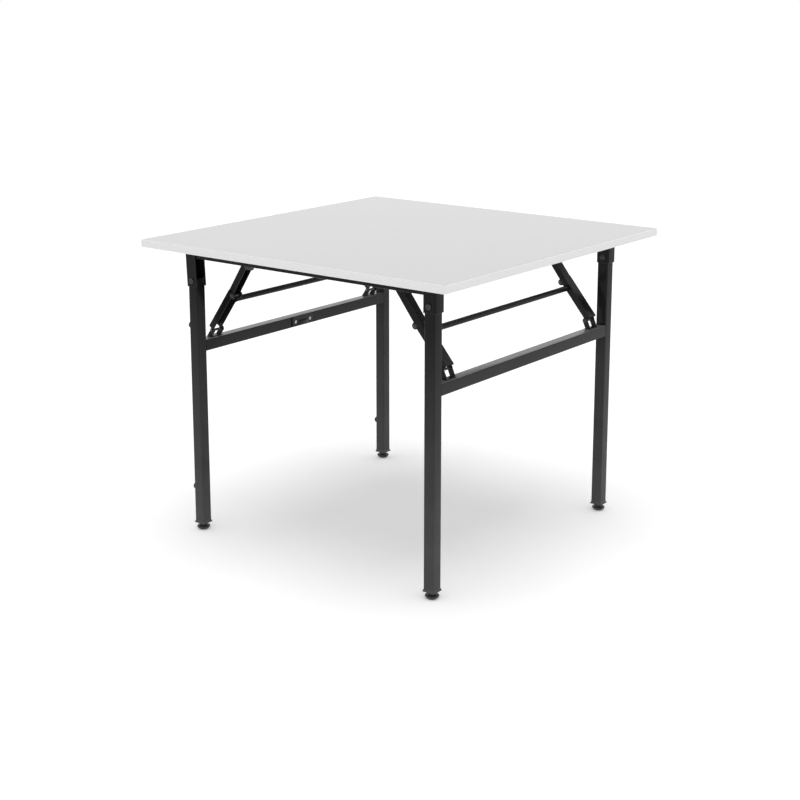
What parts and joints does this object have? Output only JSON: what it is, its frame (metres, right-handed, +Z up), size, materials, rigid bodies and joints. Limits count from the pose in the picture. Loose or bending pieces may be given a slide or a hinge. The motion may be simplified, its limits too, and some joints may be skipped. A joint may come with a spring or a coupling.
{
  "type": "folding banquet table",
  "caption": "Square folding table: a pale laminated top on a black steel frame whose leg pairs fold flat under it on locking knee braces, with levelling feet.",
  "frame": {"origin": "on the floor, under the middle of the top, with the legs open and the feet screwed in", "axes": "+Z up, +X along the side rails, the way the legs fold; the left leg frame stands at -X, the front is at -Y"},
  "size_m": [0.9, 0.9, 0.7345],
  "materials": {
    "laminate": "pale grey matt laminate on particle board",
    "edge_banding": "light grey satin edging",
    "black_steel": "black powder coat, satin",
    "hinge_steel": "dark grey coated pressed steel",
    "rivet_steel": "black coated rivet heads, rubbed",
    "zinc": "bright zinc plate",
    "black_plastic": "moulded, fine grain",
    "glide_plastic": "moulded nylon",
    "rubber": "matt rubber",
    "strip_plastic": "satin moulded plastic"
  },
  "bodies": {
    "table_top": {"tabletop_panel": "laminate", "edge_band_front": "edge_banding", "edge_band_rear": "edge_banding", "edge_band_left": "edge_banding", "edge_band_right": "edge_banding", "side_rail_front": "black_steel", "side_rail_rear": "black_steel", "rail_screws": "zinc", "hinge_screws": "zinc", "leg_bracket_left_front": "black_steel", "leg_bracket_left_rear": "black_steel", "leg_bracket_right_front": "black_steel", "leg_bracket_right_rear": "black_steel", "brace_hinge_left_front": "hinge_steel", "brace_hinge_left_rear": "hinge_steel", "brace_hinge_right_front": "hinge_steel", "brace_hinge_right_rear": "hinge_steel", "leg_pivot_rivets_left": "rivet_steel", "leg_pivot_rivets_right": "rivet_steel", "hinge_rivets_left": "rivet_steel", "hinge_rivets_right": "rivet_steel"},
    "leg_frame_left": {"leg_left_front": "black_steel", "leg_left_rear": "black_steel", "crossbar_left": "black_steel", "clevis_left_front": "black_steel", "clevis_left_rear": "black_steel", "clevis_rivets_left": "rivet_steel", "end_cap_left_front": "black_plastic", "end_cap_left_rear": "black_plastic", "stacking_buffers": "rubber", "catch_strip": "strip_plastic", "catch_screws": "zinc"},
    "upper_braces_left": {"upper_link_left_front": "black_steel", "upper_link_left_rear": "black_steel"},
    "lower_braces_left": {"lower_link_left_front": "black_steel", "lower_link_left_rear": "black_steel", "knee_rivets_left": "rivet_steel", "connecting_rod_left": "black_steel"},
    "foot_left_front": {"foot_glide_left_front": "glide_plastic", "foot_stud_left_front": "zinc"},
    "foot_left_rear": {"foot_glide_left_rear": "glide_plastic", "foot_stud_left_rear": "zinc"},
    "leg_frame_right": {"leg_right_front": "black_steel", "leg_right_rear": "black_steel", "crossbar_right": "black_steel", "clevis_right_front": "black_steel", "clevis_right_rear": "black_steel", "clevis_rivets_right": "rivet_steel", "end_cap_right_front": "black_plastic", "end_cap_right_rear": "black_plastic"},
    "upper_braces_right": {"upper_link_right_front": "black_steel", "upper_link_right_rear": "black_steel"},
    "lower_braces_right": {"lower_link_right_front": "black_steel", "lower_link_right_rear": "black_steel", "knee_rivets_right": "rivet_steel", "connecting_rod_right": "black_steel"},
    "foot_right_front": {"foot_glide_right_front": "glide_plastic", "foot_stud_right_front": "zinc"},
    "foot_right_rear": {"foot_glide_right_rear": "glide_plastic", "foot_stud_right_rear": "zinc"}
  },
  "joints": [
    {"name": "fold_left", "type": "hinge", "parent": "table_top", "child": "leg_frame_left", "pos_m": [-0.355, 0, 0.6335], "axis": [0, -1, 0], "range_deg": [0, 90]},
    {"name": "brace_hinge_left", "type": "hinge", "parent": "table_top", "child": "upper_braces_left", "pos_m": [-0.2196, 0, 0.692], "axis": [0, -1, 0], "range_deg": [-48.31, 0.5]},
    {"name": "knee_left", "type": "hinge", "parent": "upper_braces_left", "child": "lower_braces_left", "pos_m": [-0.28198, 0, 0.59535], "axis": [0, -1, 0], "range_deg": [-0.5, 156.81]},
    {"name": "level_left_front", "type": "slide", "parent": "leg_frame_left", "child": "foot_left_front", "axis": [0, 0, -1], "range_m": [0, 0.012]},
    {"name": "level_left_rear", "type": "slide", "parent": "leg_frame_left", "child": "foot_left_rear", "axis": [0, 0, -1], "range_m": [0, 0.012]},
    {"name": "fold_right", "type": "hinge", "parent": "table_top", "child": "leg_frame_right", "pos_m": [0.355, 0, 0.6655], "axis": [0, 1, 0], "range_deg": [0, 90]},
    {"name": "brace_hinge_right", "type": "hinge", "parent": "table_top", "child": "upper_braces_right", "pos_m": [0.2017, 0, 0.692], "axis": [0, 1, 0], "range_deg": [-49.82, 0.5]},
    {"name": "knee_right", "type": "hinge", "parent": "upper_braces_right", "child": "lower_braces_right", "pos_m": [0.27165, 0, 0.60069], "axis": [0, 1, 0], "range_deg": [-0.5, 174.51]},
    {"name": "level_right_front", "type": "slide", "parent": "leg_frame_right", "child": "foot_right_front", "axis": [0, 0, -1], "range_m": [0, 0.012]},
    {"name": "level_right_rear", "type": "slide", "parent": "leg_frame_right", "child": "foot_right_rear", "axis": [0, 0, -1], "range_m": [0, 0.012]}
  ],
  "couplings": [
    {"joint": "brace_hinge_left", "follows": "fold_left", "ratio": -0.53123},
    {"joint": "knee_left", "follows": "fold_left", "ratio": 1.7368},
    {"joint": "brace_hinge_right", "follows": "fold_right", "ratio": -0.54799},
    {"joint": "knee_right", "follows": "fold_right", "ratio": 1.9335}
  ]
}
